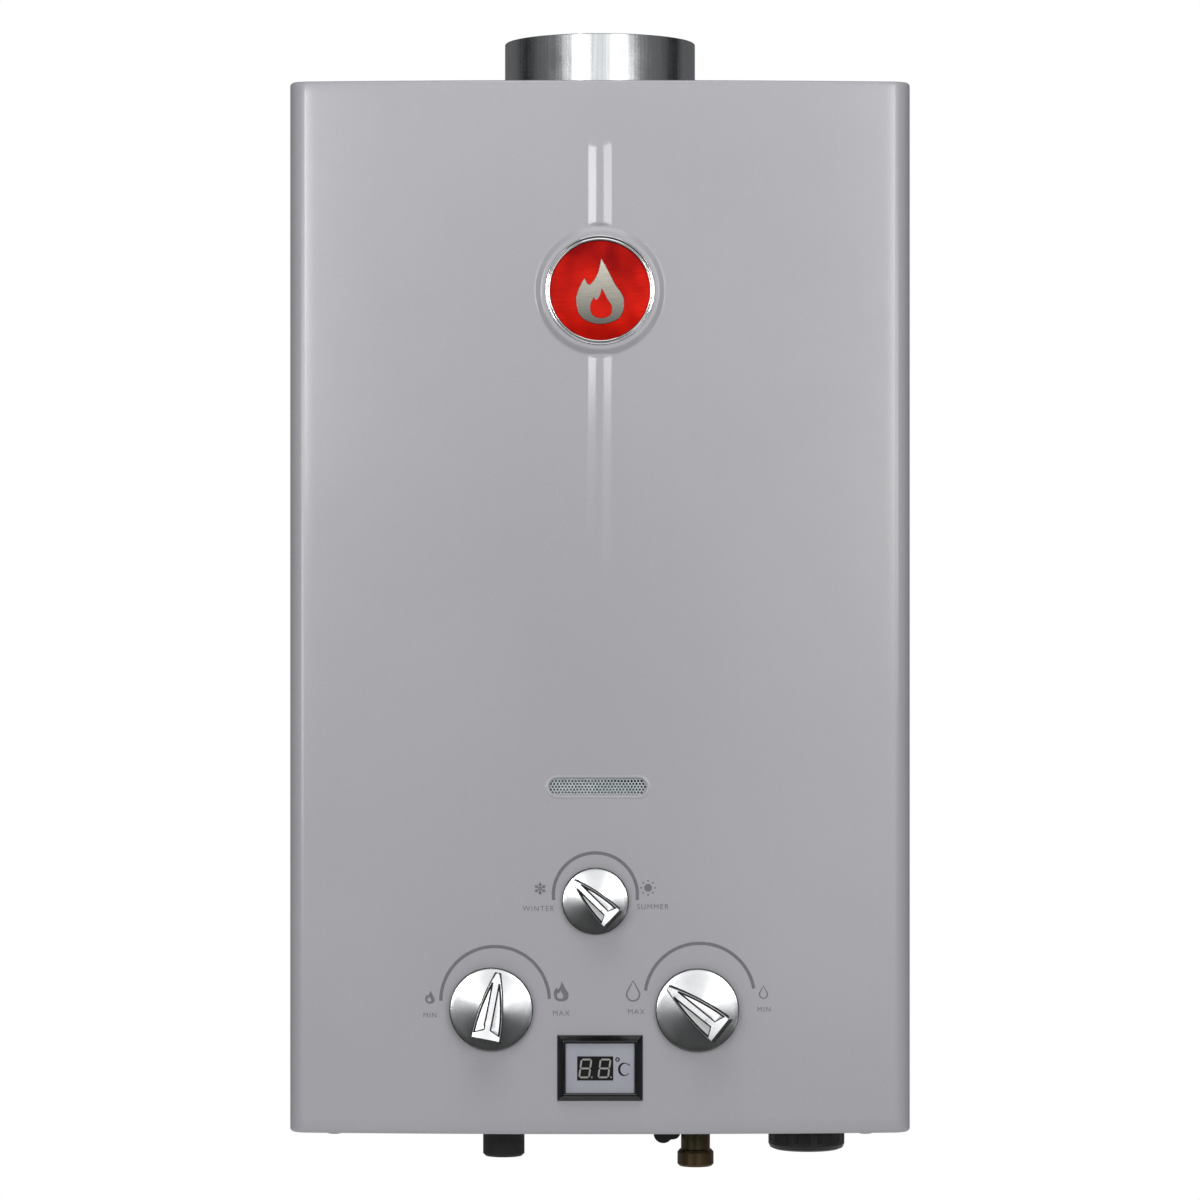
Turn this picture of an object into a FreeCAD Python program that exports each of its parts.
import FreeCAD, Part
import math
import os
from types import SimpleNamespace

import Sketcher
from FreeCAD import Placement, Rotation, Vector

# Wall-hung flued tankless gas water heater, in millimetres.
# +Z is up, the front panel faces -Y, and the origin is the centre of the four wall holes,
# on the wall face of the back plate, at half the height of the casing.

DIMENSIONS = {
    # casing
    "case_width": 350,
    "case_height": 592,
    "case_depth": 165,
    "case_sheet": 1,
    "case_rear_gap": 1.5,
    "corner_radius": 10.5,
    "edge_radius": 2,
    "bow_radius": 1900,
    "lip_depth": 24,
    "cover_screw_x": 150,
    "cover_screw_y": -146,
    "cover_screw_head": 1.4,
    "back_sheet": 1.2,
    "chassis_gap": 2.4,
    "back_flange": 18,
    "wall_hole_radius": 3.5,
    "wall_hole_across": 240,
    "wall_hole_rise": 520,
    "floor_level": -288,
    "floor_front": -150,
    # flue and combustion chamber
    "flue_radius": 55,
    "flue_rise": 29.5,
    "flue_flange": 63,
    "thin_sheet": 0.8,
    "burn_axis": -83,
    "chamber_width": 224,
    "chamber_depth": 100,
    "chamber_bottom": -94,
    "chamber_top": 200,
    "hood_top": 288,
    "hood_neck_width": 160,
    "fin_count": 40,
    "fin_pitch": 5.4,
    "fin_sheet": 0.6,
    "fin_bottom": 135,
    "fin_height": 60,
    "tube_level": 165,
    "tube_radius": 8,
    "tube_pitch": 18,
    "pipe_radius": 6,
    "pipe_bend": 15,
    "side_pipe": 134,
    "burner_bottom": -146,
    "burner_count": 11,
    "burner_pitch": 18.4,
    "burner_width": 8,
    "burner_length": 88,
    "burner_height": 30,
    "manifold_y": -148,
    "manifold_level": -130,
    # valve group
    "valve_axis": -84,
    "valve_depth": 40,
    "boss_radius": 11,
    "boss_front": -126,
    "spindle_radius": 3,
    "spindle_front": -169,
    "running_gap": 0.05,
    "plug_radius": 6,
    "rod_x": 30,
    "rod_radius": 2.5,
    "chamber_radius": 29,
    "solenoid_x": -30,
    # fittings under the casing
    "hot_x": -55.7,
    "cold_x": 55.3,
    "gas_x": -14,
    "drain_x": 38.5,
    "battery_x": 119.5,
    "thread_radius": 10.48,
    "hot_drop": 21.5,
    "cold_drop": 27.4,
    "gas_drop": 8,
    "cap_drop": 17.4,
    "cap_radius": 22,
    "gas_block_foot": -246,
    "water_block_foot": -262,
    "cell_radius": 16.6,
    "cell_length": 61.5,
    # controls on the front panel
    "knob_radius": 23.45,
    "season_radius": 18.75,
    "knob_gap": 0.8,
    "season_x": -2.6,
    "season_z": -164.8,
    "gas_knob_x": -61,
    "gas_knob_z": -225.5,
    "water_knob_x": 54.6,
    "water_knob_z": -226,
    "season_angle": 46,
    "gas_angle": -10.8,
    "water_angle": 51.5,
    "slot_x": -1.2,
    "slot_z": -100.9,
    "slot_length": 54,
    "slot_height": 8.9,
    "emblem_z": 177.7,
    "emblem_radius": 30.9,
    "boss_outer": 35.8,
    "display_z": -258.6,
    "bezel_width": 48,
    "bezel_height": 36.9,
    "label_width": 38,
    "label_height": 27.3,
    "led_x": -2.7,
    "led_width": 20.4,
    "led_height": 13.7,
}

AXIS_TURNS = {
    "+X": Rotation(Vector(0, 1, 0), 90),
    "-X": Rotation(Vector(0, 1, 0), -90),
    "+Y": Rotation(Vector(1, 0, 0), -90),
    "-Y": Rotation(Vector(1, 0, 0), 90),
    "+Z": Rotation(),
    "-Z": Rotation(Vector(1, 0, 0), 180),
}

doc = FreeCAD.newDocument("gas_water_heater")
sub_parts = []


class Size:
    """A length that carries its number and the sheet formula it comes from."""

    def __init__(self, value, formula):
        self.value = value
        self.formula = formula

    def _with(self, other, sign, swapped=False):
        first, second = as_size(self), as_size(other)
        if swapped:
            first, second = second, first
        results = {
            "+": lambda: first.value + second.value,
            "-": lambda: first.value - second.value,
            "*": lambda: first.value * second.value,
            "/": lambda: first.value / second.value,
        }
        return Size(results[sign](), f"({first.formula} {sign} {second.formula})")

    def __add__(self, other):
        return self._with(other, "+")

    def __radd__(self, other):
        return self._with(other, "+", swapped=True)

    def __sub__(self, other):
        return self._with(other, "-")

    def __rsub__(self, other):
        return self._with(other, "-", swapped=True)

    def __mul__(self, other):
        return self._with(other, "*")

    def __rmul__(self, other):
        return self._with(other, "*", swapped=True)

    def __truediv__(self, other):
        return self._with(other, "/")

    def __neg__(self):
        return self._with(-1, "*")


def as_size(length):
    """Give a plain number the same form as a length from the sheet."""
    return length if isinstance(length, Size) else Size(float(length), f"{float(length):.6f}")


def fill_sheet():
    """Write the driving dimensions into the sheet and return them as lengths."""
    sheet = doc.addObject("Spreadsheet::Sheet", "dims")
    lengths = {}
    for row, (name, value) in enumerate(DIMENSIONS.items(), start=1):
        sheet.set(f"A{row}", name)
        sheet.set(f"B{row}", str(value))
        sheet.setAlias(f"B{row}", name)
        lengths[name] = Size(float(value), f"dims.{name}")
    doc.recompute()
    return SimpleNamespace(**lengths)


d = fill_sheet()
case_left = -d.case_width / 2
case_right = d.case_width / 2
case_top = d.case_height / 2
case_bottom = -d.case_height / 2
panel_y = -d.case_depth
valve_back = d.valve_axis + d.valve_depth / 2
valve_front = d.valve_axis - d.valve_depth / 2


# ---------------------------------------------------------------- building blocks


def bind(obj, prop, length):
    obj.setExpression(prop, as_size(length).formula)


def stand(obj, start, axis="+Z", spin=0):
    """Put an object's own origin at start, with its own +Z along axis, spun about that axis."""
    obj.Placement = Placement(Vector(), AXIS_TURNS[axis] * Rotation(Vector(0, 0, 1), spin))
    for letter, place in zip("xyz", start):
        bind(obj, f"Placement.Base.{letter}", place)
    return obj


def box(low, high):
    """A block between two opposite corners."""
    block = doc.addObject("Part::Box", "block")
    for prop, start, end in zip(("Length", "Width", "Height"), low, high):
        bind(block, prop, end - start)
    return stand(block, low)


def rod(start, radius, length, axis="+Z"):
    """A cylinder that runs from start along axis."""
    cylinder = doc.addObject("Part::Cylinder", "rod")
    bind(cylinder, "Radius", radius)
    bind(cylinder, "Height", length)
    return stand(cylinder, start, axis)


def hexagon(start, across_flats, height):
    """A hexagonal prism with two flats facing left and right."""
    prism = doc.addObject("Part::Prism", "hexagon")
    prism.Polygon = 6
    bind(prism, "Circumradius", across_flats / math.sqrt(3))
    bind(prism, "Height", height)
    return stand(prism, start, spin=30)


def join(*shapes):
    fused = doc.addObject("Part::MultiFuse", "joined")
    fused.Shapes = list(shapes)
    return fused


def cut(base, *tools):
    result = doc.addObject("Part::Cut", "cut")
    result.Base = base
    result.Tool = join(*tools) if len(tools) > 1 else tools[0]
    return result


def draw_outline(sketch, points):
    """Add a closed outline whose corners are bound to the sheet."""
    first = sketch.GeometryCount
    corners = [Vector(as_size(x).value, as_size(y).value, 0) for x, y in points]
    for start, end in zip(corners, corners[1:] + corners[:1]):
        sketch.addGeometry(Part.LineSegment(start, end))
    joints = [
        Sketcher.Constraint("Coincident", first + index, 2, first + (index + 1) % len(points), 1)
        for index in range(len(points))
    ]
    sketch.addConstraint(joints)
    places = []
    for index, (x, y) in enumerate(points):
        places += [("DistanceX", first + index, 1, x), ("DistanceY", first + index, 1, y)]
    pin_down(sketch, places)


def draw_circle(sketch, x, y, radius):
    """Add a circle whose centre and radius are bound to the sheet."""
    circle = sketch.GeometryCount
    centre = Vector(as_size(x).value, as_size(y).value, 0)
    sketch.addGeometry(Part.Circle(centre, Vector(0, 0, 1), as_size(radius).value))
    pin_down(sketch, [("DistanceX", circle, 3, x), ("DistanceY", circle, 3, y)])
    index = sketch.addConstraint(Sketcher.Constraint("Radius", circle, as_size(radius).value))
    bind(sketch, f"Constraints[{index}]", radius)


def pin_down(sketch, places):
    """Hold points at their distances from the sketch's origin, each distance from the sheet."""
    constraints = [
        Sketcher.Constraint(kind, -1, 1, line, point, as_size(length).value)
        for kind, line, point, length in places
    ]
    first = sketch.ConstraintCount
    sketch.addConstraint(constraints)
    for offset, place in enumerate(places):
        bind(sketch, f"Constraints[{first + offset}]", place[-1])


def sketch_in(body, role, outlines, circles=(), offset=0):
    """Draw outlines and circles on one of the body's origin planes."""
    sketch = body.newObject("Sketcher::SketchObject", "sketch")
    sketch.AttachmentSupport = [(origin_item(body, role), "")]
    sketch.MapMode = "FlatFace"
    bind(sketch, "AttachmentOffset.Base.z", offset)
    for points in outlines:
        draw_outline(sketch, points)
    for x, y, radius in circles:
        draw_circle(sketch, x, y, radius)
    return sketch


def plate(role, base, thickness, outline, windows=(), holes=()):
    """Sheet or slab cut to an outline: XY plates rise, XZ plates come forward, YZ plates go right."""
    body = doc.addObject("PartDesign::Body", "plate")
    pad = body.newObject("PartDesign::Pad", "pad")
    pad.Profile = sketch_in(body, role, [outline, *windows], holes)
    bind(pad, "Length", thickness)
    letter = {"XY_Plane": "z", "XZ_Plane": "y", "YZ_Plane": "x"}[role]
    bind(body, f"Placement.Base.{letter}", base)
    return body


def turned(start, axis, profile):
    """A turned piece: the profile lists (radius, distance along the axis)."""
    body = doc.addObject("PartDesign::Body", "turned")
    sketch = sketch_in(body, "XZ_Plane", [profile])
    spin = body.newObject("PartDesign::Revolution", "spin")
    spin.Profile = sketch
    spin.ReferenceAxis = (sketch, ["V_Axis"])
    spin.Angle = 360
    return stand(body, start, axis)


def lofted(role, lower, upper, height):
    """A solid that changes evenly from one outline to another."""
    body = doc.addObject("PartDesign::Body", "lofted")
    first = sketch_in(body, role, [lower])
    second = sketch_in(body, role, [upper], offset=height)
    loft = body.newObject("PartDesign::AdditiveLoft", "loft")
    loft.Profile = first
    loft.Sections = [second]
    loft.Ruled = True
    return body


def origin_item(body, role):
    """One of the body's own origin planes or axes."""
    return next(item for item in body.Origin.OriginFeatures if item.Role == role)


def repeated(body, span, count):
    """Repeat a body's one solid evenly along X."""
    first = body.Tip
    row = body.newObject("PartDesign::LinearPattern", "row")
    row.Originals = [first]
    row.Direction = (origin_item(body, "X_Axis"), [""])
    bind(row, "Length", span)
    bind(row, "Occurrences", count)
    body.Tip = row
    return body


def rectangle(low, high):
    (left, bottom), (right, top) = low, high
    return [(left, bottom), (right, bottom), (right, top), (left, top)]


def numbers(point):
    return Vector(*(as_size(place).value for place in point))


def pipe_path(points, bend):
    """Straight runs joined by tangent arcs, each arc no larger than its two runs allow."""
    corners = [numbers(point) for point in points]
    edges = []
    run_start = corners[0]
    for before, corner, after in zip(corners, corners[1:], corners[2:]):
        incoming = (corner - before).normalize()
        outgoing = (after - corner).normalize()
        half_turn = incoming.getAngle(outgoing) / 2
        shorter = min((corner - before).Length, (after - corner).Length)
        setback = min(bend * math.tan(half_turn), 0.48 * shorter)
        radius = setback / math.tan(half_turn)
        towards_centre = (outgoing - incoming).normalize()
        middle = corner + towards_centre * (radius / math.cos(half_turn) - radius)
        arc_start = corner - incoming * setback
        arc_end = corner + outgoing * setback
        edges.append(Part.LineSegment(run_start, arc_start).toShape())
        edges.append(Part.Arc(arc_start, middle, arc_end).toShape())
        run_start = arc_end
    edges.append(Part.LineSegment(run_start, corners[-1]).toShape())
    return Part.Wire(edges)


def pipe(points, radius, bore, bend):
    """A bent tube along points; a bore of 0 leaves it solid."""
    path = pipe_path(points, as_size(bend).value)
    start = path.Edges[0]
    direction = start.tangentAt(start.FirstParameter)
    shapes = []
    for size in (as_size(radius).value, as_size(bore).value):
        if size > 0:
            ring = Part.Wire([Part.makeCircle(size, path.Vertexes[0].Point, direction)])
            shapes.append(path.makePipeShell([ring], True, False))
    feature = doc.addObject("Part::Feature", "pipe")
    feature.Shape = shapes[0].cut(shapes[1]) if len(shapes) > 1 else shapes[0]
    return feature


def coil_spring(start, radius, wire, length, turns):
    """A round-wire spring that stands on start."""
    wire_radius = as_size(wire).value
    height = as_size(length).value - 2 * wire_radius
    helix = Part.makeHelix(height / turns, height, as_size(radius).value)
    section = Part.makeCircle(wire_radius, Vector(as_size(radius).value, 0, 0), Vector(0, 1, 0))
    feature = doc.addObject("Part::Feature", "spring")
    feature.Shape = Part.Wire(helix.Edges).makePipeShell([Part.Wire([section])], True, True)
    feature.Placement = Placement(numbers(start) + Vector(0, 0, wire_radius), Rotation())
    return feature


def sub_part(label, obj):
    """Keep an object as one of the heater's pieces, under its own name."""
    obj.Label = label
    sub_parts.append(obj)
    return obj


# ---------------------------------------------------------------- casing


def round_edges(shape, radius, chosen):
    """Fillet the edges that chosen accepts."""
    doc.recompute()
    rounded = doc.addObject("Part::Fillet", "rounded")
    rounded.Base = shape
    edges = enumerate(shape.Shape.Edges, start=1)
    rounded.Edges = [(index, radius.value, radius.value) for index, edge in edges if chosen(edge)]
    return rounded


def casing_solid(inset, back):
    """The casing as a solid block with a gently bowed, round-cornered front."""
    low = (case_left + inset, panel_y + inset, case_bottom + inset)
    high = (case_right - inset, back, case_top - inset)
    bow = rod((0, panel_y + d.bow_radius, case_bottom), d.bow_radius - inset, d.case_height)
    bowed = doc.addObject("Part::Common", "bowed")
    bowed.Base = box(low, high)
    bowed.Tool = bow
    middle = as_size(panel_y).value / 2

    def is_front_corner(edge):
        return edge.BoundBox.ZLength > 1 and edge.BoundBox.YMax < middle

    return round_edges(bowed, d.corner_radius - inset, is_front_corner)


def build_front_cover():
    """Pressed steel cover: bowed panel, sides, top with a notch for the flue, narrow bottom lip."""
    past_wall = 5

    def is_front_rim(edge):
        level = abs(edge.BoundBox.ZMax)
        return edge.BoundBox.ZLength < 1e-3 and level > case_top.value - 1e-3 and edge.BoundBox.YMax < -20

    outer = round_edges(casing_solid(as_size(0), -d.case_rear_gap), d.edge_radius, is_front_rim)
    inner = casing_solid(d.case_sheet, as_size(past_wall))
    wall = cut(outer, inner)
    notch_radius = d.flue_radius + 5
    notch = join(
        rod((0, d.burn_axis, case_top - 2), notch_radius, 4),
        box((-notch_radius, d.burn_axis, case_top - 2), (notch_radius, past_wall, case_top + 2)),
    )
    lip_back = panel_y + d.lip_depth
    floor_opening = box(
        (case_left + d.case_sheet, lip_back, case_bottom - 2),
        (case_right - d.case_sheet, past_wall, case_bottom + 2),
    )
    slot_end = d.slot_height / 2
    half_slot = d.slot_length / 2 - slot_end
    behind = panel_y + 6
    slot_ends = [rod((d.slot_x + side * half_slot, behind, d.slot_z), slot_end, 8, "-Y") for side in (-1, 1)]
    slot_middle = box(
        (d.slot_x - half_slot, panel_y - 2, d.slot_z - slot_end),
        (d.slot_x + half_slot, behind, d.slot_z + slot_end),
    )
    slot = join(slot_middle, *slot_ends)
    knobs = (
        (d.season_x, d.season_z),
        (d.gas_knob_x, d.gas_knob_z),
        (d.water_knob_x, d.water_knob_z),
    )
    spindle_clearance, bezel_overlap, screw_clearance = 6, 3, 2.2
    spindle_holes = [rod((x, behind, z), spindle_clearance, 8, "-Y") for x, z in knobs]
    half_window = d.bezel_width / 2 - bezel_overlap
    window_rise = d.bezel_height / 2 - bezel_overlap
    display_window = box(
        (-half_window, panel_y - 2, d.display_z - window_rise),
        (half_window, behind, d.display_z + window_rise),
    )
    screw_holes = [
        rod((side * d.cover_screw_x, d.cover_screw_y, case_bottom - 2), screw_clearance, 4)
        for side in (-1, 1)
    ]
    sheet = cut(wall, notch, floor_opening, slot, *spindle_holes, display_window, *screw_holes)
    sub_part("front_cover", join(sheet, emblem_boss(), *panel_ribs()))


def emblem_boss():
    """Round pressed boss that frames the emblem."""
    rim = d.boss_outer
    profile = [
        (d.emblem_radius + 0.3, 0),
        (rim, 0),
        (rim, 1),
        (rim - 1.9, 2.4),
        (rim - 3.5, 2.4),
        (d.emblem_radius + 0.3, 1.2),
    ]
    return turned((0, panel_y + 0.5, d.emblem_z), "-Y", profile)


def panel_ribs():
    """Two pressed ribs on the centre line, one above the emblem and one fading out below it."""
    half_width, ridge, height, tail = 7.3, 3.1, 2.1, 0.6
    upper_low, upper_high = d.emblem_z + d.boss_outer - 1, 265
    lower_low, lower_high = -4, d.emblem_z - d.boss_outer + 1
    upper = lofted(
        "XZ_Plane",
        rectangle((-half_width, upper_low), (half_width, upper_high)),
        rectangle((-ridge, upper_low), (ridge, upper_high - 3)),
        height,
    )
    lower = lofted(
        "XZ_Plane",
        rectangle((-half_width, lower_low), (half_width, lower_high)),
        rectangle((-ridge, lower_low + 40), (ridge, lower_high)),
        height - tail,
    )
    for rib in (upper, lower):
        bind(rib, "Placement.Base.y", panel_y + 0.4)
    return upper, lower


def build_back_plate():
    """Wall plate with side flanges and four wall holes."""
    half_width = case_right - d.chassis_gap
    half_height = case_top - 4
    holes = [
        (side * d.wall_hole_across / 2, rise * d.wall_hole_rise / 2, d.wall_hole_radius)
        for side in (-1, 1)
        for rise in (-1, 1)
    ]
    outline = rectangle((-half_width, -half_height), (half_width, half_height))
    wall = plate("XZ_Plane", 0, d.back_sheet, outline, holes=holes)
    flanges = [
        box(
            (side * half_width - (1 + side) / 2 * d.back_sheet, -d.back_flange, -half_height),
            (side * half_width + (1 - side) / 2 * d.back_sheet, -d.back_sheet, half_height),
        )
        for side in (-1, 1)
    ]
    sub_part("back_plate", join(wall, *flanges))


def build_bottom_plate():
    """Chassis floor with holes for the fittings, rows of air slots and two forked front tabs."""
    half_width = case_right - d.chassis_gap - d.back_sheet
    notch_x, notch_half, notch_back = d.cover_screw_x, 2.6, d.floor_front + 9
    outline = [
        (-half_width, d.floor_front),
        (-notch_x - notch_half, d.floor_front),
        (-notch_x - notch_half, notch_back),
        (-notch_x + notch_half, notch_back),
        (-notch_x + notch_half, d.floor_front),
        (notch_x - notch_half, d.floor_front),
        (notch_x - notch_half, notch_back),
        (notch_x + notch_half, notch_back),
        (notch_x + notch_half, d.floor_front),
        (half_width, d.floor_front),
        (half_width, -d.back_sheet),
        (-half_width, -d.back_sheet),
    ]
    slot_half, slot_pitch, slot_columns = 2, 12, 12
    slots = [
        box(
            (column * slot_pitch - slot_half, front, d.floor_level - 3),
            (column * slot_pitch + slot_half, back, d.floor_level + 1),
        )
        for column in range(-slot_columns, slot_columns + 1)
        for front, back in ((-46, -16), (-138, -116))
    ]
    holes = [
        (d.hot_x, d.valve_axis, d.thread_radius + 0.4),
        (d.cold_x, d.valve_axis, d.thread_radius + 0.4),
        (d.gas_x, d.valve_axis, d.thread_radius + 0.4),
        (d.drain_x, d.valve_axis, 4.5),
        (d.battery_x, d.valve_axis, 20.2),
    ]
    floor = plate("XY_Plane", d.floor_level - d.back_sheet, d.back_sheet, outline, holes=holes)
    flange_half, flange_height = 165, 14
    rear_flange = box(
        (-flange_half, -d.back_sheet - 1, d.floor_level),
        (flange_half, -d.back_sheet, d.floor_level + flange_height),
    )
    sub_part("bottom_plate", join(cut(floor, *slots), rear_flange))


def build_machine_screws():
    """Identical pan-head screws: four at the floor's rear flange, six round the valve cover."""
    head_radius, head_height = 2.4, 2
    screws = [
        rod((x, -d.back_sheet - 1, d.floor_level + 8), head_radius, head_height, "-Y")
        for x in (-150, -90, 90, 150)
    ]
    bolt_circle = d.chamber_radius - 2.5
    for index in range(6):
        angle = math.radians(30 + 60 * index)
        x = d.rod_x + bolt_circle * math.cos(angle)
        y = d.valve_axis + bolt_circle * math.sin(angle)
        screws.append(rod((x, y, -203), head_radius, head_height))
    sub_part("machine_screws", join(*screws))


def build_cover_screws():
    """Two screws that clamp the cover's lip to the forked tabs of the bottom plate."""
    head, head_radius, shank_radius = d.cover_screw_head, 4, 2
    end = head + 11.8
    profile = [
        (0, 0),
        (head_radius - 0.6, 0),
        (head_radius, 0.4),
        (head_radius, head),
        (shank_radius, head),
        (shank_radius, end),
        (0, end),
    ]
    screws = [
        turned((side * d.cover_screw_x, d.cover_screw_y, case_bottom - head), "+Z", profile)
        for side in (-1, 1)
    ]
    sub_part("cover_screws", join(*screws))


# ---------------------------------------------------------------- flue and heat exchanger


def build_flue_collar():
    """Round spigot for the flue pipe, with a flange that sits on the hood."""
    rise = case_top + d.flue_rise - d.hood_top
    inner = d.flue_radius - d.thin_sheet
    profile = [
        (inner, 0),
        (d.flue_flange, 0),
        (d.flue_flange, 1),
        (d.flue_radius, 1),
        (d.flue_radius, rise - 0.4),
        (d.flue_radius - 0.4, rise),
        (inner, rise),
    ]
    sub_part("flue_collar", turned((0, d.burn_axis, d.hood_top), "+Z", profile))


def hood_solid(inset, bottom, top):
    half_width = d.chamber_width / 2 + 1.1 - inset
    half_depth = d.chamber_depth / 2 + 1.1 - inset
    half_neck = d.hood_neck_width / 2 - inset
    front, back = d.burn_axis - half_depth, d.burn_axis + half_depth
    lower = rectangle((-half_width, front), (half_width, back))
    upper = rectangle((-half_neck, front), (half_neck, back))
    solid = lofted("XY_Plane", lower, upper, top - bottom)
    bind(solid, "Placement.Base.z", bottom)
    return solid


def build_flue_hood():
    """Sheet hood that gathers the flue gas over the fins and leads it to the collar."""
    outer = hood_solid(0, d.chamber_top, d.hood_top)
    inner = hood_solid(d.thin_sheet, d.chamber_top - 0.5, d.hood_top - d.thin_sheet)
    outlet = rod((0, d.burn_axis, d.hood_top - 3), d.flue_radius - d.thin_sheet, 6)
    sub_part("flue_hood", cut(outer, inner, outlet))


def tube_rows():
    """Depth positions of the five exchanger tubes, front to back."""
    return [d.burn_axis + step * d.tube_pitch for step in (-2, -1, 0, 1, 2)]


def build_combustion_chamber():
    """Open-ended copper box round the flames and the fins."""
    half_width, half_depth = d.chamber_width / 2, d.chamber_depth / 2
    low = (-half_width, d.burn_axis - half_depth, d.chamber_bottom)
    high = (half_width, d.burn_axis + half_depth, d.chamber_top)
    sheet = d.thin_sheet
    hollow = box(
        (low[0] + sheet, low[1] + sheet, low[2] - 1),
        (high[0] - sheet, high[1] - sheet, high[2] + 1),
    )
    tube_holes = [
        rod((-half_width - 1, y, d.tube_level), d.tube_radius + 0.1, d.chamber_width + 2, "+X")
        for y in tube_rows()
    ]
    sub_part("combustion_chamber", cut(box(low, high), hollow, *tube_holes))


def build_heat_exchanger_fins():
    """Stack of copper fins, pierced for the tubes."""
    half_depth = d.chamber_depth / 2 - d.thin_sheet - 0.4
    outline = rectangle(
        (d.burn_axis - half_depth, d.fin_bottom),
        (d.burn_axis + half_depth, d.fin_bottom + d.fin_height),
    )
    holes = [(y, d.tube_level, d.tube_radius + 0.05) for y in tube_rows()]
    span = (d.fin_count - 1) * d.fin_pitch
    fin = plate("YZ_Plane", -span / 2, d.fin_sheet, outline, holes=holes)
    sub_part("heat_exchanger_fins", repeated(fin, span, d.fin_count))


def build_heat_exchanger_tubes():
    """Five water tubes in one row, joined end to end by half-round return bends."""
    rows = tube_rows()
    half_width = d.chamber_width / 2 + 4
    pieces = [rod((-half_width, y, d.tube_level), d.tube_radius, half_width * 2, "+X") for y in rows]
    for index, (near, far) in enumerate(zip(rows, rows[1:])):
        side = "-X" if index % 2 else "+X"
        x = -half_width if side == "-X" else half_width
        bend = doc.addObject("Part::Torus", "return_bend")
        bind(bend, "Radius1", d.tube_pitch / 2)
        bind(bend, "Radius2", d.tube_radius)
        bend.Angle3 = 180
        turn = Rotation(Vector(0, 0, 1), 90 if side == "-X" else -90)
        bend.Placement = Placement(Vector(), turn)
        for letter, place in zip("xyz", (x, (near + far) / 2, d.tube_level)):
            bind(bend, f"Placement.Base.{letter}", place)
        pieces.append(bend)
    sub_part("heat_exchanger_tubes", join(*pieces))


def build_hot_pipe():
    """Hot water pipe from the exchanger down the left side to the outlet."""
    rows = tube_rows()
    points = [
        (-d.chamber_width / 2 - 4, rows[0], d.tube_level),
        (-d.side_pipe - 6, rows[0], d.tube_level),
        (-d.side_pipe - 6, rows[0], -215),
        (-d.side_pipe - 6, d.valve_axis, -256),
        (d.hot_x, d.valve_axis, -256),
        (d.hot_x, d.valve_axis, case_bottom - d.hot_drop + 45),
    ]
    sub_part("hot_pipe", pipe(points, d.pipe_radius, d.pipe_radius - 1, d.pipe_bend))


def build_cold_pipe():
    """Cold water pipe from the water valve to the foot of the coil."""
    points = [
        (60, valve_back, -250),
        (60, -34, -250),
        (d.side_pipe, -34, -250),
        (d.side_pipe, -34, -40),
    ]
    sub_part("cold_pipe", pipe(points, d.pipe_radius, d.pipe_radius - 1, d.pipe_bend))


def build_coil_pipe():
    """Water coil that climbs round the combustion chamber and enters the exchanger."""
    out = d.pipe_radius + 3.2
    side = d.chamber_width / 2 + out
    front = d.burn_axis - d.chamber_depth / 2 - out
    back = d.burn_axis + d.chamber_depth / 2 + out
    climb = 8
    last_row = tube_rows()[-1]
    points = [(d.side_pipe, -34, -40), (d.side_pipe, -34, -16), (side, -66, -6)]
    corners = [(side, front), (-side, front), (-side, back), (side, back)]
    laps = corners + corners[:3]
    points += [(x, y, index * climb) for index, (x, y) in enumerate(laps)]
    top = len(laps) * climb
    points += [
        (d.side_pipe + 2, back, top),
        (d.side_pipe + 2, last_row, top + 30),
        (d.side_pipe + 2, last_row, d.tube_level),
        (d.chamber_width / 2 + 4, last_row, d.tube_level),
    ]
    sub_part("coil_pipe", pipe(points, d.pipe_radius, 0, d.pipe_bend - 2))


def build_chamber_brackets():
    """Four stand-offs that hang the chamber and the burner tray on the back plate."""
    chamber_back = d.burn_axis + d.chamber_depth / 2
    half_width, sheet, foot_height = 10, 1.5, 14
    brackets = []
    for x in (-70, 70):
        for level in (-120, 100):
            web = box((x - half_width, chamber_back, level), (x + half_width, -d.back_sheet, level + sheet))
            foot = box(
                (x - half_width, -d.back_sheet - sheet, level - foot_height),
                (x + half_width, -d.back_sheet, level),
            )
            brackets.append(join(web, foot))
    sub_part("chamber_brackets", join(*brackets))


def build_thermal_cutout():
    """Bimetal cut-out on the front of the hood."""
    hood_front = d.burn_axis - d.chamber_depth / 2 - 1.1
    x, z = 50, 225
    disc = rod((x, hood_front, z), 8, 4, "-Y")
    body = rod((x, hood_front - 4, z), 6, 5, "-Y")
    blades = [
        box((x + start, hood_front - 16, z - 4), (x + start + 1, hood_front - 9, z + 2))
        for start in (-4, 3)
    ]
    sub_part("thermal_cutout", join(disc, body, *blades))


# ---------------------------------------------------------------- burner


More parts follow.
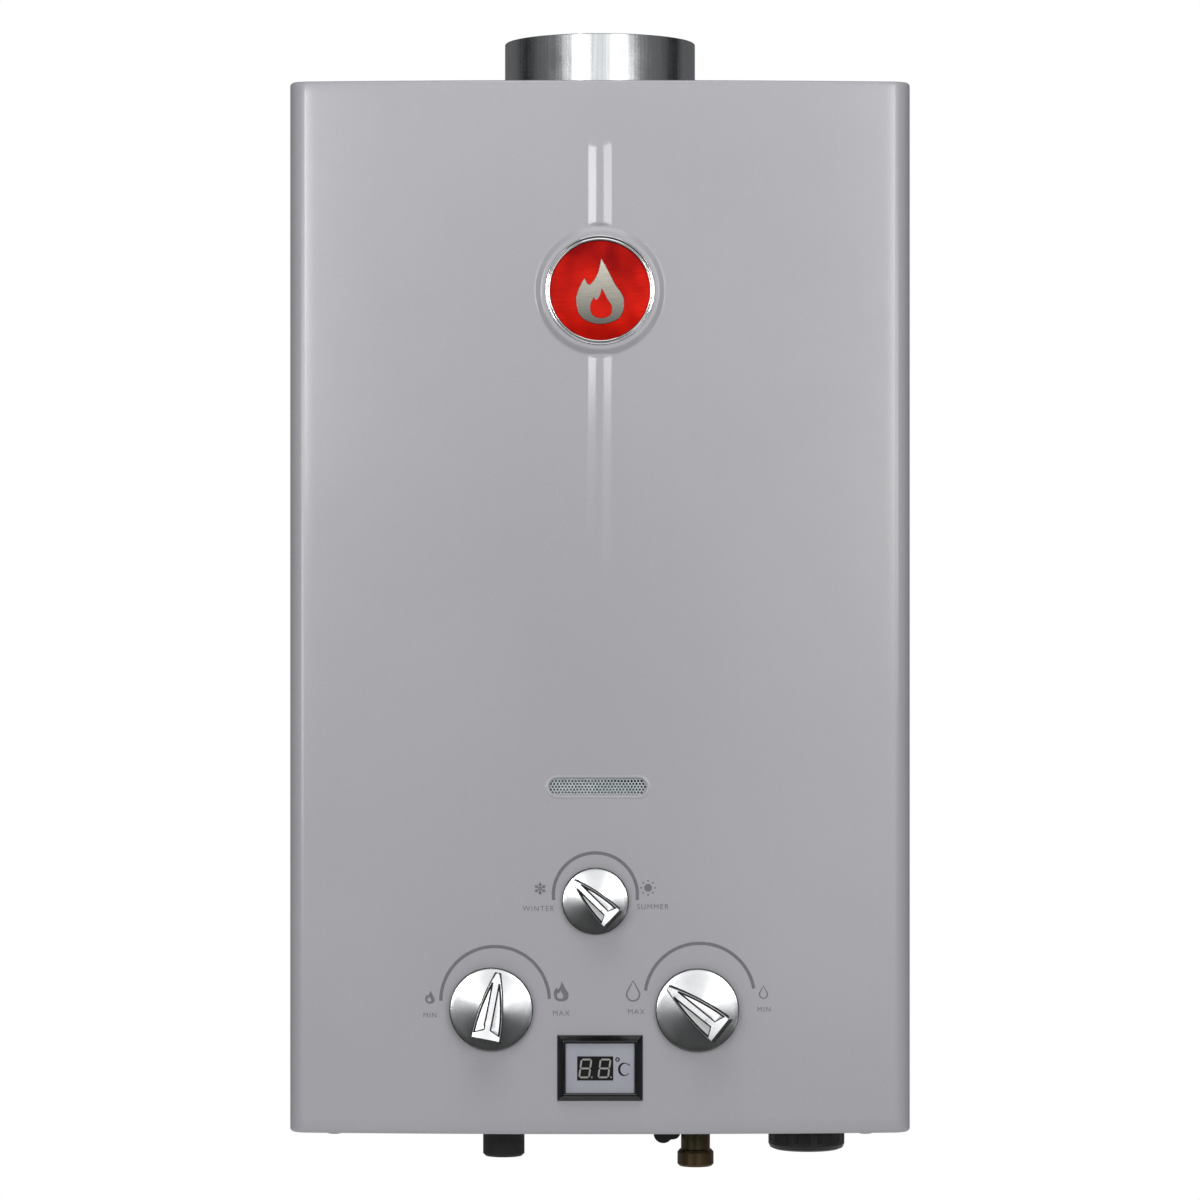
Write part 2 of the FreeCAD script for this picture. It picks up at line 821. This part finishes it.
def build_burner_bars():
    """Row of slotted burner bars, each with a mixing tube at the front."""
    half_length = d.burner_length / 2
    back, front = d.burn_axis + half_length, d.burn_axis - half_length
    low = d.burner_bottom + 4
    high = low + d.burner_height
    port_depth, port_count, port_width = 4, 10, 1.6
    pitch = (d.burner_length - 8) / port_count
    outline = [(front, low), (back, low), (back, high)]
    for port in range(port_count):
        edge = back - 4 - (port + 0.5) * pitch
        outline += [
            (edge + port_width / 2, high),
            (edge + port_width / 2, high - port_depth),
            (edge - port_width / 2, high - port_depth),
            (edge - port_width / 2, high),
        ]
    outline.append((front, high))
    span = (d.burner_count - 1) * d.burner_pitch
    bar = plate("YZ_Plane", -span / 2 - d.burner_width / 2, d.burner_width, outline)
    bars = repeated(bar, span, d.burner_count)
    tube_radius, tube_bore, tube_length, bore_depth = 5, 3.4, 8, 14
    columns = burner_columns()
    tubes = [rod((x, front, d.manifold_level), tube_radius, tube_length, "-Y") for x in columns]
    bores = [rod((x, front + bore_depth, d.manifold_level), tube_bore, 30, "-Y") for x in columns]
    sub_part("burner_bars", cut(join(bars, *tubes), *bores))


def burner_columns():
    middle = (int(d.burner_count.value) - 1) / 2
    return [(index - middle) * d.burner_pitch for index in range(int(d.burner_count.value))]


def build_burner_frame():
    """Tray that carries the burner bars, open above and below, windowed for the mixing tubes."""
    half_width, half_depth = d.chamber_width / 2, d.chamber_depth / 2
    low = (-half_width, d.burn_axis - half_depth, d.burner_bottom)
    high = (half_width, d.burn_axis + half_depth, d.chamber_bottom)
    hollow = box(
        (low[0] + 1, low[1] + 1, low[2] - 1),
        (high[0] - 1, high[1] - 1, high[2] + 1),
    )
    window = box(
        (low[0] + 6, low[1] - 1, low[2] + 6),
        (high[0] - 6, low[1] + 2, low[2] + 26),
    )
    rails = [
        box((low[0] + 1, y - 3, low[2]), (high[0] - 1, y + 3, low[2] + 3.9))
        for y in (d.burn_axis - 30, d.burn_axis + 30)
    ]
    probe_holes = [rod((x, low[1] - 1, -101), 4.2, 3, "+Y") for x in (-60, 60)]
    frame = cut(box(low, high), hollow, window, *probe_holes)
    sub_part("burner_frame", join(frame, *rails))


def build_gas_manifold():
    """Square gas rail in front of the burner."""
    half = 6
    low = (-100, d.manifold_y - half, d.manifold_level - half)
    high = (100, d.manifold_y + half, d.manifold_level + half)
    bore = rod((-96, d.manifold_y, d.manifold_level), 4, 192, "+X")
    jets = [rod((x, d.manifold_y, d.manifold_level), 1.9, 10, "+Y") for x in burner_columns()]
    feed = rod((-40, d.manifold_y, d.manifold_level - half - 2), 4.5, 8)
    sub_part("gas_manifold", cut(box(low, high), bore, feed, *jets))


def build_gas_nozzles():
    """Brass jets screwed into the rail, one for each burner bar."""
    face = d.manifold_y + 6
    jets = []
    for x in burner_columns():
        profile = [(0.6, -4), (1.85, -4), (1.85, 0), (3.2, 0), (3.2, 2), (1.8, 3.4), (0.6, 3.4)]
        jets.append(turned((x, face, d.manifold_level), "+Y", profile))
    sub_part("gas_nozzles", join(*jets))


def build_gas_riser():
    """Pipe from the gas valve to the rail."""
    points = [
        (-40, valve_front, -160),
        (-40, d.manifold_y, -160),
        (-40, d.manifold_y, d.manifold_level - 6),
    ]
    sub_part("gas_riser", pipe(points, 6.5, 4.5, 12))


def build_probes():
    """Spark electrode on the left and flame sensor on the right, aimed over the burner."""
    face = d.burn_axis - d.chamber_depth / 2
    names = (("spark_electrode", -60), ("flame_sensor", 60))
    for label, x in names:
        profile = [
            (0, -14),
            (2.5, -14),
            (4, -12),
            (4, 0),
            (6, 0),
            (6, 2.2),
            (4, 2.2),
            (3, 6),
            (1.1, 6),
            (1.1, 24),
            (0, 24),
        ]
        sub_part(label, turned((x, face - 2.2, -101), "+Y", profile))


def build_probe_leads():
    """Insulated leads from the two probes to the control box."""
    tail = d.burn_axis - d.chamber_depth / 2 - 2.2 - 14
    left = [
        (-60, tail, -101),
        (-60, tail - 6, -101),
        (-100, tail - 2, -106),
        (-156, -140, -112),
        (-157, -60, -124),
        (-135, -26, -132),
        (-134, -26, -146.8),
    ]
    right = [
        (60, tail, -101),
        (60, tail - 6, -101),
        (20, tail - 4, -98),
        (-40, tail - 4, -91),
        (-110, -150, -98),
        (-163, -132, -104),
        (-164, -60, -116),
        (-148, -24, -126),
        (-147, -24, -146.8),
    ]
    sub_part("probe_leads", join(pipe(left, 1.7, 0, 10), pipe(right, 1.7, 0, 10)))


def build_control_box():
    """Moulded igniter and control box on the back plate, with a row of connectors."""
    left, right, front, back, low, high = -162, -96, -40, -8, -232, -147
    case = box((left, front, low), (right, back, high))
    foot = 8
    feet = [
        box((x, back, z), (x + foot, -d.back_sheet, z + foot))
        for x in (left + 2, right - foot - 2)
        for z in (low + 2, high - foot)
    ]
    rib_pitch, rib_width, rib_depth = 9, 3, 1.5
    rib_starts = [left + 6 + rib_pitch * step for step in range(6)]
    ribs = [
        box((x, front - rib_depth, low + 6), (x + rib_width, front, high - 23))
        for x in rib_starts
    ]
    sub_part("control_box", join(case, *feet, *ribs))


# ---------------------------------------------------------------- gas and water valves


def spindle_bores(x, z):
    """Stepped bore for a spindle: a wide pocket for its plug, then a running fit to the front."""
    plug_end = d.valve_axis - 14
    return [
        rod((x, valve_back + 1, z), d.plug_radius + 0.2, valve_back + 1 - plug_end, "-Y"),
        rod((x, plug_end + 1, z), d.spindle_radius + d.running_gap, plug_end + 1 - d.boss_front + 1, "-Y"),
    ]


def spindle_boss(x, z):
    return rod((x, valve_front + 2, z), d.boss_radius, valve_front + 2 - d.boss_front, "-Y")


def build_gas_valve_body():
    """Die-cast gas valve: inlet block, column and upper block with the valve chambers."""
    left, foot, lower_top, upper_foot, top = -80, d.gas_block_foot, -206, -176, -147
    lower = box((left, valve_front, foot), (-2, valve_back, lower_top))
    column = box((left, valve_front, lower_top), (-44, valve_back, upper_foot))
    upper = box((left, valve_front, upper_foot), (50, valve_back, top))
    inlet = rod((d.gas_x, d.valve_axis, foot - 4), 7, 26)
    disc_chamber = rod((d.rod_x, d.valve_axis, -168), 12, 18)
    rod_hole = rod((d.rod_x, d.valve_axis, upper_foot - 2), d.rod_radius + d.running_gap, 12)
    armature_chamber = rod((d.solenoid_x, d.valve_axis, -174), 7.5, 13)
    armature_hole = rod((d.solenoid_x, d.valve_axis, upper_foot - 2), 4 + d.running_gap, 6)
    passage, link_x, link_level = 4, -62, -226
    gallery = rod((-48, d.valve_axis, -158), passage, 66, "+X")
    outlet = rod((-40, valve_front - 1, -160), 4.5, 24, "+Y")
    link = rod((link_x, d.valve_axis, link_level), passage, 58, "+X")
    riser = rod((link_x, d.valve_axis, link_level), passage, 68)
    solid = join(
        lower,
        column,
        upper,
        spindle_boss(d.gas_knob_x, d.gas_knob_z),
        spindle_boss(d.season_x, d.season_z),
    )
    bores = spindle_bores(d.gas_knob_x, d.gas_knob_z) + spindle_bores(d.season_x, d.season_z)
    passages = (inlet, disc_chamber, rod_hole, armature_chamber, armature_hole, gallery, outlet, link, riser)
    sub_part("gas_valve_body", cut(solid, *passages, *bores))


def build_water_valve():
    """Brass water valve: inlet block and diaphragm cup, with its cover and rubber diaphragm."""
    foot = d.water_block_foot
    block = box((36, valve_front, foot), (76, valve_back, foot + 50))
    cup = rod((d.rod_x, d.valve_axis, -222), d.chamber_radius, 14)
    drain_boss = rod((d.drain_x, d.valve_axis, foot - 16), 6, 16)
    cavity = rod((d.rod_x, d.valve_axis, -218), d.chamber_radius - 5, 11)
    inlet = rod((d.cold_x, d.valve_axis, foot - 2), 6.5, 34)
    outlet = rod((60, valve_back + 1, -250), 5, 24, "-Y")
    drain = rod((d.drain_x, d.valve_axis, foot - 17), 4 + d.running_gap, 15)
    drain_link = rod((d.drain_x, d.valve_axis, -268), 2.5, 18)
    solid = join(block, cup, drain_boss, spindle_boss(d.water_knob_x, d.water_knob_z))
    bores = spindle_bores(d.water_knob_x, d.water_knob_z)
    sub_part("water_valve_body", cut(solid, cavity, inlet, outlet, drain, drain_link, *bores))

    membrane = turned(
        (d.rod_x, d.valve_axis, -208),
        "+Z",
        [(0, 0), (18, 0), (20, -2), (23, -2), (24, 0), (d.chamber_radius, 0), (d.chamber_radius, 1), (0, 1)],
    )
    sub_part("diaphragm", membrane)

    inner = d.chamber_radius - 5
    hole = d.rod_radius + d.running_gap
    cover = turned(
        (d.rod_x, d.valve_axis, -207),
        "+Z",
        [
            (inner - 3, 0),
            (d.chamber_radius, 0),
            (d.chamber_radius, 4),
            (inner, 4),
            (inner - 2, 11),
            (hole, 11),
            (hole, 9),
            (inner - 4, 9),
        ],
    )
    sub_part("water_valve_cover", cover)


def build_linkage():
    """Push rod with the diaphragm plate at its foot, a switch collar, and the gas disc on top."""
    push_rod = turned(
        (d.rod_x, d.valve_axis, -207),
        "+Z",
        [
            (0, 0),
            (16, 0),
            (16, 1.6),
            (d.rod_radius, 2.4),
            (d.rod_radius, 17),
            (5, 17),
            (5, 19),
            (d.rod_radius, 19),
            (d.rod_radius, 39.3),
            (0, 39.3),
        ],
    )
    sub_part("push_rod", push_rod)
    disc = turned(
        (d.rod_x, d.valve_axis, -167.7),
        "+Z",
        [(0, 0), (9, 0), (9, 1.6), (6, 2.6), (3, 2.6), (3, 5), (0, 5)],
    )
    sub_part("gas_disc", disc)
    sub_part("gas_disc_spring", coil_spring((d.rod_x, d.valve_axis, -165), 4.6, 0.6, 15, 5))


def build_solenoid():
    """Safety solenoid under the upper block: coil, armature with valve seat, return spring."""
    coil = turned(
        (d.solenoid_x, d.valve_axis, -204),
        "+Z",
        [
            (4 + d.running_gap, 2),
            (4 + d.running_gap, 28),
            (10, 28),
            (10, 26),
            (9, 25),
            (9, 4),
            (10, 3),
            (10, 0),
            (0, 0),
            (0, 2),
        ],
    )
    sub_part("solenoid_coil", coil)
    armature = turned(
        (d.solenoid_x, d.valve_axis, -201),
        "+Z",
        [(0, 0), (4, 0), (4, 27.2), (6.5, 27.2), (6.5, 29.4), (2.5, 29.4), (2.5, 31), (0, 31)],
    )
    sub_part("solenoid_armature", armature)
    sub_part("armature_spring", coil_spring((d.solenoid_x, d.valve_axis, -171.6), 4.2, 0.5, 10.4, 5))


def build_microswitch():
    """Switch that starts the spark when the push rod rises, with its lever."""
    case = box((-12, d.valve_axis - 5, -195), (7, d.valve_axis + 5, -176))
    blade_pitch, blade_width, blade_length = 7, 3, 4
    blade_starts = [-10 + blade_pitch * step for step in range(3)]
    blades = [
        box((x, d.valve_axis + 5, -192), (x + blade_width, d.valve_axis + 5 + blade_length, -191))
        for x in blade_starts
    ]
    sub_part("microswitch", join(case, *blades))
    hub = rod((8.7, d.valve_axis - 3, -193), 1.5, 6, "+Y")
    arm = box((8.7, d.valve_axis - 3, -191.6), (26.4, d.valve_axis + 3, -190.8))
    web = box((8.7, d.valve_axis - 3, -193), (9.5, d.valve_axis + 3, -190.8))
    sub_part("switch_lever", join(hub, web, arm))


def build_valve_bracket():
    """Bracket that carries both valve bodies in front of the back plate."""
    sheet, left, right = 1.5, -84, 80
    arm_low, arm_high, foot_width = -232, -156, 12
    back = box((left, valve_back, -240), (right, valve_back + sheet, -150))
    arms = [
        box((x, valve_back + sheet, arm_low), (x + sheet, -d.back_sheet, arm_high))
        for x in (left, right - sheet)
    ]
    feet = [
        box((x, -d.back_sheet - sheet, arm_low), (x + foot_width, -d.back_sheet, arm_high))
        for x in (left + sheet - foot_width, right)
    ]
    cup_gap = d.chamber_radius + 1.5
    window = box(
        (d.rod_x - cup_gap, valve_back - 1, -224),
        (d.rod_x + cup_gap, valve_back + 3, -194),
    )
    sub_part("valve_bracket", join(cut(back, window), *arms, *feet))


def build_spindles():
    """Knob spindles: a ported plug at the back and a flatted end for the knob at the front."""
    places = (
        ("season_spindle", d.season_x, d.season_z, d.season_angle),
        ("gas_spindle", d.gas_knob_x, d.gas_knob_z, d.gas_angle),
        ("water_spindle", d.water_knob_x, d.water_knob_z, d.water_angle),
    )
    plug_start = d.valve_axis + 12
    for label, x, z, angle in places:
        length = plug_start - d.spindle_front
        plug_length = 25
        profile = [
            (0, 0),
            (d.plug_radius, 0),
            (d.plug_radius, plug_length),
            (d.spindle_radius, plug_length),
            (d.spindle_radius, length - 0.5),
            (d.spindle_radius - 0.5, length),
            (0, length),
        ]
        shaft = turned((x, plug_start, z), "-Y", profile)
        flat = box((x - 4, d.spindle_front - 1, z + 2), (x + 4, d.spindle_front + 9, z + 5))
        port = rod((x, d.valve_axis, z - 10), 2.5, 20)
        sub_part(label, cut(shaft, flat, port))


# ---------------------------------------------------------------- fittings under the casing


def build_fittings():
    """Hot outlet sleeve, cold inlet and gas inlet, and the nuts that hold them in the floor."""
    neck = d.thread_radius - 0.08
    sleeve_foot = case_bottom - d.hot_drop
    sleeve = turned(
        (d.hot_x, d.valve_axis, sleeve_foot),
        "+Z",
        [
            (9.3, 0),
            (10.6, 0),
            (12, 1.4),
            (12, 26),
            (neck, 26),
            (neck, 45),
            (d.pipe_radius - 1, 45),
            (d.pipe_radius - 1, 18),
            (9.3, 18),
        ],
    )
    sub_part("hot_outlet_sleeve", sleeve)

    cold_foot = case_bottom - d.cold_drop
    cold = turned(
        (d.cold_x, d.valve_axis, cold_foot),
        "+Z",
        [
            (6.5, 0),
            (9.3, 0),
            (d.thread_radius, 1.2),
            (d.thread_radius, 8),
            (9.4, 9.4),
            (8.4, 10),
            (8.4, 26.5),
            (12.5, 26.5),
            (12.5, 33),
            (neck, 33),
            (neck, d.water_block_foot - cold_foot),
            (6.5, d.water_block_foot - cold_foot),
        ],
    )
    sub_part("cold_inlet_fitting", cold)

    gas_foot = case_bottom - d.gas_drop
    gas = turned(
        (d.gas_x, d.valve_axis, gas_foot),
        "+Z",
        [
            (7, 0),
            (9.4, 0),
            (d.thread_radius, 1.2),
            (d.thread_radius, 9.6),
            (9.4, 10.4),
            (8.8, 10.8),
            (8.8, 11.8),
            (12.5, 11.8),
            (12.5, d.gas_drop + 6.8),
            (neck, d.gas_drop + 6.8),
            (neck, d.gas_block_foot - gas_foot),
            (7, d.gas_block_foot - gas_foot),
        ],
    )
    sub_part("gas_inlet_nipple", gas)

    across_flats, nut_height = as_size(27), 3.4
    nuts = []
    for x in (d.hot_x, d.gas_x, d.cold_x):
        blank = hexagon((x, d.valve_axis, d.floor_level), across_flats, nut_height)
        nuts.append(cut(blank, rod((x, d.valve_axis, d.floor_level - 1), neck + 0.02, 6)))
    sub_part("pipe_nuts", join(*nuts))


def build_drain_plug():
    """Winged drain plug screwed into the foot of the water valve, with its seal."""
    collar_level = -281.8
    stem = turned(
        (d.drain_x, d.valve_axis, -304),
        "+Z",
        [
            (0, 0),
            (3, 0),
            (3, 22.2),
            (5.5, 22.2),
            (5.5, 24.2),
            (4, 24.2),
            (4, 36),
            (3.2, 38),
            (0, 38),
        ],
    )
    thickness = 4.4
    wing_front = d.valve_axis - thickness / 2
    wing = [
        rod((d.drain_x - 1.9, wing_front, -304.7), 5.6, thickness, "+Y"),
        rod((d.drain_x + 3.9, wing_front, -304), 4.1, thickness, "+Y"),
        box(
            (d.drain_x - 1.9, wing_front, -308.2),
            (d.drain_x + 3.9, wing_front + thickness, -299.9),
        ),
    ]
    sub_part("drain_plug", join(stem, *wing))
    seal = turned(
        (d.drain_x, d.valve_axis, collar_level + 2),
        "+Z",
        [(4.1, 0), (5.6, 0), (5.9, 0.4), (5.9, 1.4), (5.6, 1.8), (4.1, 1.8)],
    )
    sub_part("drain_seal", seal)


def build_battery_holder():
    """Battery tube through the floor, two D cells, a screw cap and its contact spring."""
    y = d.valve_axis
    foot = -302
    bore = d.cell_radius + 0.6
    tube = turned(
        (d.battery_x, y, foot),
        "+Z",
        [
            (bore, 0),
            (19.6, 0),
            (19.6, 14),
            (24, 14),
            (24, 16),
            (20, 16),
            (20, 144),
            (0, 144),
            (0, 142),
            (bore, 142),
        ],
    )
    sub_part("battery_tube", tube)

    cells = []
    cell_foot, cell_pitch = -286, d.cell_length + 0.1
    for index in range(2):
        length = d.cell_length - 1.5
        profile = [
            (0, 0),
            (d.cell_radius - 1, 0),
            (d.cell_radius, 1),
            (d.cell_radius, length - 1),
            (d.cell_radius - 1, length),
            (5, length),
            (4.6, length + 1.5),
            (0, length + 1.5),
        ]
        cells.append(turned((d.battery_x, y, cell_foot + index * cell_pitch), "+Z", profile))
    sub_part("battery_cells", join(*cells))

    cap_foot = case_bottom - d.cap_drop
    rim = d.cap_radius
    shell = turned(
        (d.battery_x, y, cap_foot),
        "+Z",
        [
            (0, 0),
            (rim - 3.4, 0),
            (rim - 1, 1),
            (rim, 3.2),
            (rim, 21.5),
            (20, 21.5),
            (20, 2.6),
            (0, 2.6),
        ],
    )
    coin_half, coin_width, coin_depth = 11, 3, 1.2
    coin_slot = box(
        (d.battery_x - coin_half, y - coin_width / 2, cap_foot - 1),
        (d.battery_x + coin_half, y + coin_width / 2, cap_foot + coin_depth),
    )
    flute_count, flute_radius = 20, 1.3
    flute_circle = rim + 0.7
    flutes = []
    for index in range(flute_count):
        angle = math.tau * index / flute_count
        x = d.battery_x + flute_circle * math.cos(angle)
        flutes.append(rod((x, y + flute_circle * math.sin(angle), cap_foot + 5), flute_radius, 18))
    sub_part("battery_cap", cut(shell, coin_slot, *flutes))

    seat = rod((d.battery_x, y, cap_foot + 2.9), 15, 1)
    spring = coil_spring((d.battery_x, y, cap_foot + 3.7), 10, 0.8, 23, 5)
    sub_part("battery_spring", join(seat, spring))


# ---------------------------------------------------------------- controls on the cover


def grip_outline(radius, tip, tip_half, waist_half, heel, heel_half):
    """Pointer outline, narrow at the top and wide at the heel."""
    return [
        (-tip_half * radius, tip * radius),
        (-waist_half * radius, 0.3 * radius),
        (-heel_half * radius, -heel * radius),
        (heel_half * radius, -heel * radius),
        (waist_half * radius, 0.3 * radius),
        (tip_half * radius, tip * radius),
    ]


def build_knob(label, x, z, radius, angle):
    """Conical disc with a pointer-shaped grip, pushed on to its spindle."""
    back = panel_y - d.knob_gap
    socket = d.spindle_radius + d.running_gap
    profile = [
        (socket, 0),
        (radius - 1.2, 0),
        (radius, 0.8),
        (radius, 1.8),
        (radius - 1.1, 2.8),
        (radius * 0.3, 6),
        (0, 6),
        (0, 5),
        (socket, 5),
    ]
    disc = turned((x, back, z), "-Y", profile)
    base = grip_outline(radius, 0.91, 0.06, 0.21, 0.83, 0.32)
    crest = grip_outline(radius, 0.80, 0.04, 0.08, 0.70, 0.22)
    grip = lofted("XZ_Plane", base, crest, 14)
    grip.Placement = Placement(Vector(), Rotation(Vector(0, -1, 0), angle.value))
    for letter, place in zip("xyz", (x, back - 2.4, z)):
        bind(grip, f"Placement.Base.{letter}", place)
    clearance = rod((x, back + 1, z), socket, 6, "-Y")
    sub_part(label, cut(join(disc, grip), clearance))


def build_viewing_mesh():
    """Perforated sheet behind the viewing slot."""
    half_width, half_height = d.slot_length / 2 + 5, d.slot_height / 2 + 6
    outline = rectangle(
        (d.slot_x - half_width, d.slot_z - half_height),
        (d.slot_x + half_width, d.slot_z + half_height),
    )
    pitch, rows, columns, hole_radius = 2.4, 4, 22, 0.75
    holes = []
    for row in range(rows):
        for column in range(columns):
            x = d.slot_x + (column - columns / 2 + (row % 2) / 2) * pitch
            z = d.slot_z + (row - (rows - 1) / 2) * pitch
            holes.append(rod((x, panel_y + 3, z), hole_radius, 2, "-Y"))
    sheet = cut(plate("XZ_Plane", panel_y + 2.6, 0.6, outline), *holes)
    spacers = [
        box(
            (d.slot_x + side * (half_width - 2) - 2, panel_y + 1.3, d.slot_z - half_height),
            (d.slot_x + side * (half_width - 2) + 2, panel_y + 2, d.slot_z + half_height),
        )
        for side in (-1, 1)
    ]
    sub_part("viewing_mesh", join(sheet, *spacers))


def build_emblem():
    """Round badge: bright ring, red disc and a plain flame in relief."""
    outer = d.emblem_radius
    inner = outer - 2.7
    ring = turned(
        (0, panel_y - 0.05, d.emblem_z),
        "-Y",
        [(inner, 0), (outer, 0), (outer, 1.4), (outer - 0.9, 2.6), (outer - 1.8, 2.6), (inner, 1.6)],
    )
    sub_part("emblem_ring", ring)
    disc = turned(
        (0, panel_y - 0.05, d.emblem_z),
        "-Y",
        [(0, 0), (inner - 0.05, 0), (inner - 0.05, 1.0), (inner * 0.6, 1.5), (0, 1.7)],
    )
    flame = [
        (0, -15),
        (8, -12),
        (11, -4),
        (9, 4),
        (4, 10),
        (2, 18),
        (-4, 11),
        (-9, 4),
        (-11, -4),
        (-8, -12),
    ]
    outline = [(x, d.emblem_z + z) for x, z in flame]
    relief = plate("XZ_Plane", panel_y - 1, 1.6, outline)
    sub_part("emblem_disc", join(disc, relief))


def build_display():
    """Bezel, label plate, digit window and the housing behind the panel."""
    half_width, half_height = d.bezel_width / 2, d.bezel_height / 2
    label_half, label_rise = d.label_width / 2, d.label_height / 2
    z = d.display_z
    front = panel_y - 0.1
    outer = lofted(
        "XZ_Plane",
        rectangle((-half_width, z - half_height), (half_width, z + half_height)),
        rectangle((-label_half - 1.6, z - label_rise - 1.6), (label_half + 1.6, z + label_rise + 1.6)),
        4,
    )
    bind(outer, "Placement.Base.y", front)
    opening = box(
        (-label_half - 0.2, front - 6, z - label_rise - 0.2),
        (label_half + 0.2, front + 6, z + label_rise + 0.2),
    )
    sub_part("display_bezel", cut(outer, opening))

    led_low = (d.led_x - d.led_width / 2, z - d.led_height / 2)
    led_high = (d.led_x + d.led_width / 2, z + d.led_height / 2)
    label = plate(
        "XZ_Plane",
        front - 1,
        0.8,
        rectangle((-label_half, z - label_rise), (label_half, z + label_rise)),
        windows=[rectangle(led_low, led_high)],
    )
    sub_part("display_label", label)
    window = box(
        (led_low[0] + 0.1, front - 1.5, led_low[1] + 0.1),
        (led_high[0] - 0.1, panel_y + 6, led_high[1] - 0.1),
    )
    sub_part("digit_window", window)
    housing = cut(
        box((-26, panel_y + 1.4, z - 20), (26, panel_y + 14, z + 20)),
        box((-24, panel_y, z - 18), (24, panel_y + 12, z + 18)),
        box((-8, panel_y + 10, z - 14), (8, panel_y + 16, z - 8)),
    )
    sub_part("display_housing", housing)


def build_all():
    build_front_cover()
    build_cover_screws()
    build_viewing_mesh()
    build_emblem()
    build_display()
    build_knob("season_knob", d.season_x, d.season_z, d.season_radius, d.season_angle)
    build_knob("gas_knob", d.gas_knob_x, d.gas_knob_z, d.knob_radius, d.gas_angle)
    build_knob("water_knob", d.water_knob_x, d.water_knob_z, d.knob_radius, d.water_angle)
    build_back_plate()
    build_bottom_plate()
    build_machine_screws()
    build_flue_collar()
    build_flue_hood()
    build_combustion_chamber()
    build_heat_exchanger_fins()
    build_heat_exchanger_tubes()
    build_coil_pipe()
    build_hot_pipe()
    build_cold_pipe()
    build_chamber_brackets()
    build_thermal_cutout()
    build_burner_bars()
    build_burner_frame()
    build_gas_manifold()
    build_gas_nozzles()
    build_gas_riser()
    build_probes()
    build_probe_leads()
    build_control_box()
    build_gas_valve_body()
    build_water_valve()
    build_linkage()
    build_solenoid()
    build_microswitch()
    build_valve_bracket()
    build_spindles()
    build_fittings()
    build_drain_plug()
    build_battery_holder()


def check_and_write():
    """Refuse to write anything unless every object and every piece came out sound."""
    doc.recompute()
    failed = [obj.Label for obj in doc.Objects if {"Invalid", "Error"} & set(obj.State)]
    if failed:
        raise RuntimeError(f"failed objects: {failed}")
    for obj in sub_parts:
        if obj.Shape.isNull() or not obj.Shape.isValid() or not obj.Shape.Solids:
            raise RuntimeError(f"bad shape: {obj.Label}")
    os.makedirs("parts", exist_ok=True)
    for obj in sub_parts:
        obj.Shape.exportStep(f"parts/{obj.Label}.step")
        print(f"{obj.Label}: {len(obj.Shape.Solids)} solid(s), {obj.Shape.Volume:.0f} mm3")


build_all()
check_and_write()
